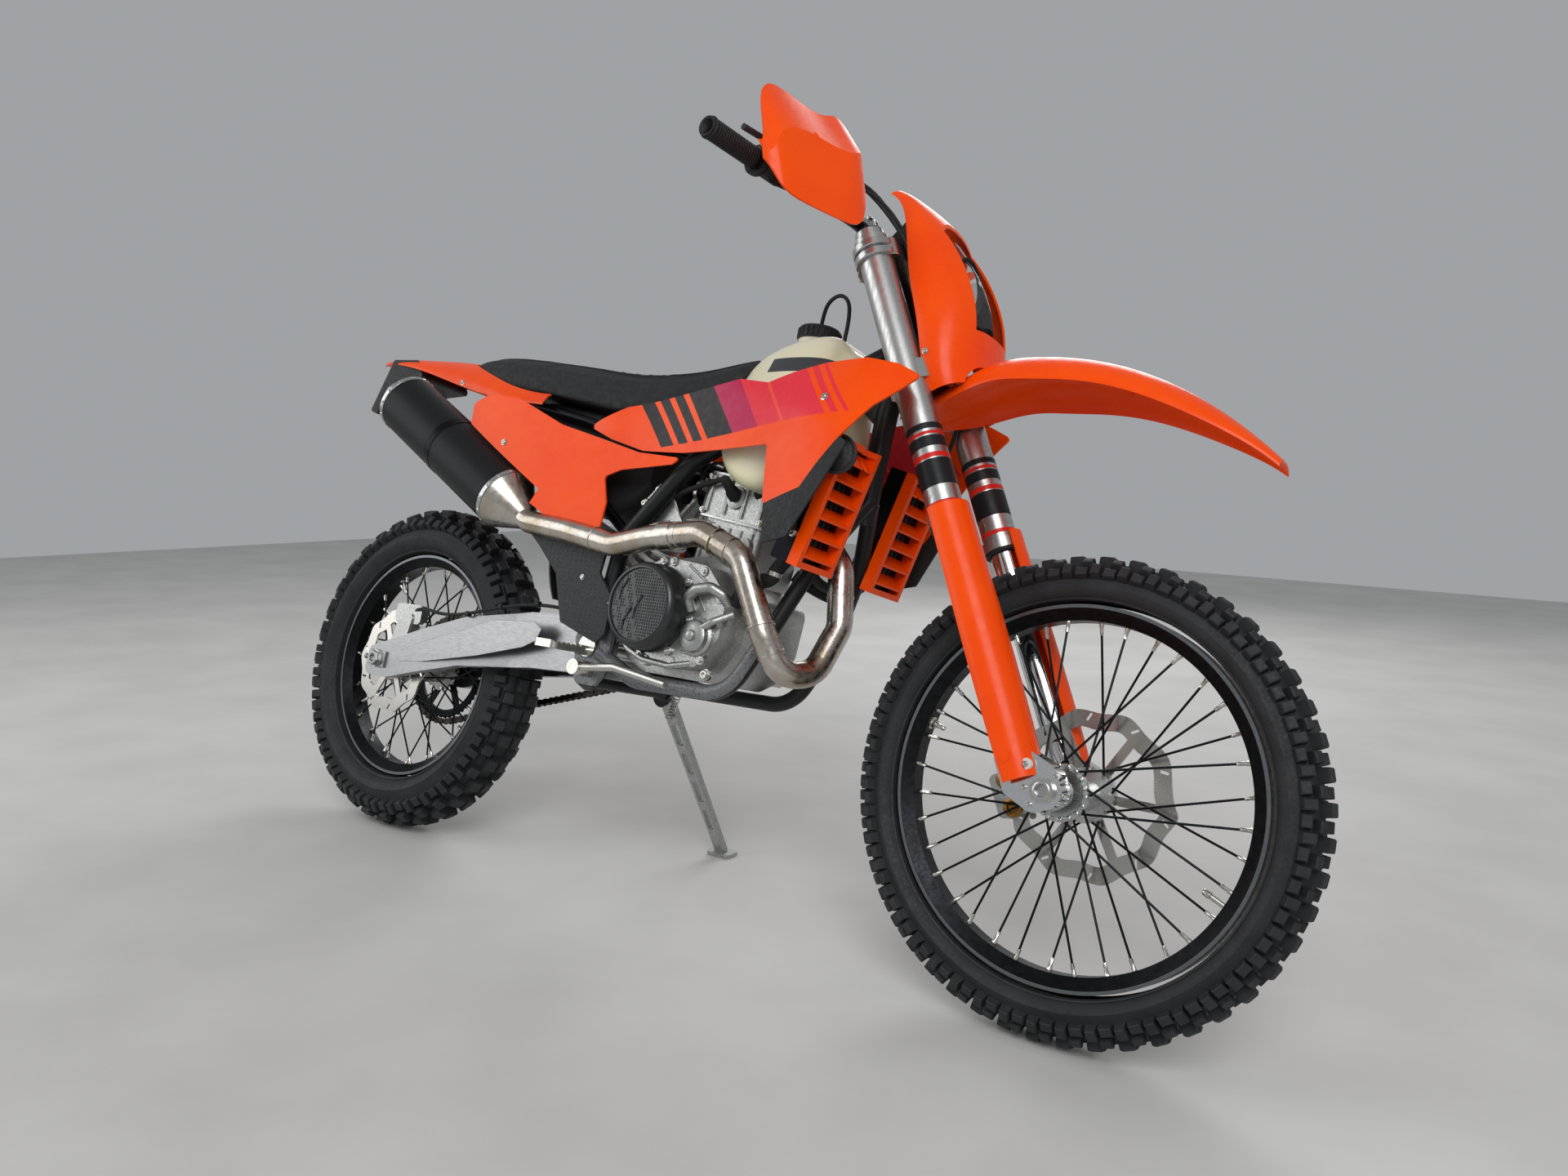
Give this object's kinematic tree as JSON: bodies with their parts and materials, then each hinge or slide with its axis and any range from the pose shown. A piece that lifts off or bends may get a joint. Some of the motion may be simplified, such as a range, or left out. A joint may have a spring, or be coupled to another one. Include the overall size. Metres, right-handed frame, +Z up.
{
  "type": "enduro dirt bike",
  "caption": "Off-road enduro motorcycle on its side stand, with high fenders, long-travel fork, wire wheels, knobbly tyres, side silencer and handguards",
  "frame": {"origin": "middle of the bounding box at ground level, as the bike stands on its side stand", "axes": "+X forward along the bike, +Y to its left, +Z up"},
  "size_m": [2.1666, 0.825, 1.3849],
  "materials": {
    "arm_alloy": "cast",
    "axle_steel": "plated",
    "bar_black": "satin black",
    "black_plastic": "textured",
    "black_rim": "black anodised",
    "chain_steel": "oiled",
    "cover_black": "black coated",
    "disc_steel": "ground",
    "engine_alloy": "die cast",
    "exhaust_steel": "brushed, heat tinted",
    "fork_alloy": "satin",
    "fork_chrome": "polished",
    "frame_paint": "satin black",
    "grip_rubber": "moulded",
    "hub_alloy": "machined",
    "lens": "clear",
    "orange_plastic": "gloss",
    "radiator_alloy": "black coated fins",
    "seat_cover": "ribbed gripper cover",
    "silencer_black": "matte black coated",
    "spoke_steel": "black spokes",
    "tank_plastic": "translucent",
    "tyre_rubber": "moulded rubber"
  },
  "bodies": {
    "chassis": {"axle_and_pivot": "axle_steel", "frame": "frame_paint", "subframe": "frame_paint", "swingarm": "arm_alloy", "rear_shock": "axle_steel", "rear_caliper": "bar_black", "drive_chain": "chain_steel", "front_sprocket": "disc_steel", "engine_case": "engine_alloy", "engine_cylinder": "engine_alloy", "engine_covers": "cover_black", "exhaust_pipe": "exhaust_steel", "silencer": "silencer_black", "fuel_tank": "tank_plastic", "seat": "seat_cover", "airbox": "grip_rubber", "shrouds": "orange_plastic", "shroud_caps": "black_plastic", "side_panels": "orange_plastic", "rear_fender": "orange_plastic", "tail_holder": "black_plastic", "mud_flap": "black_plastic", "radiators": "radiator_alloy", "radiator_louvres": "orange_plastic", "frame_guards": "black_plastic", "footpegs": "axle_steel", "foot_levers": "axle_steel"},
    "steering": {"fork_tubes": "fork_alloy", "fork_legs": "fork_chrome", "triple_clamps": "fork_alloy", "fork_guards": "orange_plastic", "front_caliper": "bar_black", "front_axle": "axle_steel", "front_fender": "orange_plastic", "headlight_mask": "orange_plastic", "headlight": "lens", "handlebar": "bar_black", "grips": "grip_rubber", "hand_controls": "bar_black", "handguards": "orange_plastic", "instrument": "black_plastic"},
    "front_wheel": {"front_tyre": "tyre_rubber", "front_rim": "black_rim", "front_hub": "hub_alloy", "front_spokes": "spoke_steel", "front_disc": "disc_steel"},
    "rear_wheel": {"rear_tyre": "tyre_rubber", "rear_rim": "black_rim", "rear_hub": "hub_alloy", "rear_spokes": "spoke_steel", "rear_disc": "disc_steel", "rear_sprocket": "disc_steel"},
    "stand": {"side_stand": "arm_alloy"}
  },
  "joints": [
    {"name": "steering", "type": "hinge", "parent": "chassis", "child": "steering", "pos_m": [0.39219, -0.06856, 0.89049], "axis": [-0.445, 0.2309, 0.8653], "range_deg": [-40, 40]},
    {"name": "front_wheel_spin", "type": "hinge", "parent": "steering", "child": "front_wheel", "pos_m": [0.73692, -0.21553, 0.33959], "axis": [-0.0004, 0.9662, -0.258], "continuous": true},
    {"name": "rear_wheel_spin", "type": "hinge", "parent": "chassis", "child": "rear_wheel", "pos_m": [-0.74509, -0.21734, 0.33489], "axis": [-0.0004, 0.9662, -0.258], "continuous": true},
    {"name": "stand_fold", "type": "hinge", "parent": "chassis", "child": "stand", "pos_m": [-0.15481, -0.08949, 0.33221], "axis": [0.0002, 0.9861, 0.1659], "range_deg": [0, 100]}
  ]
}
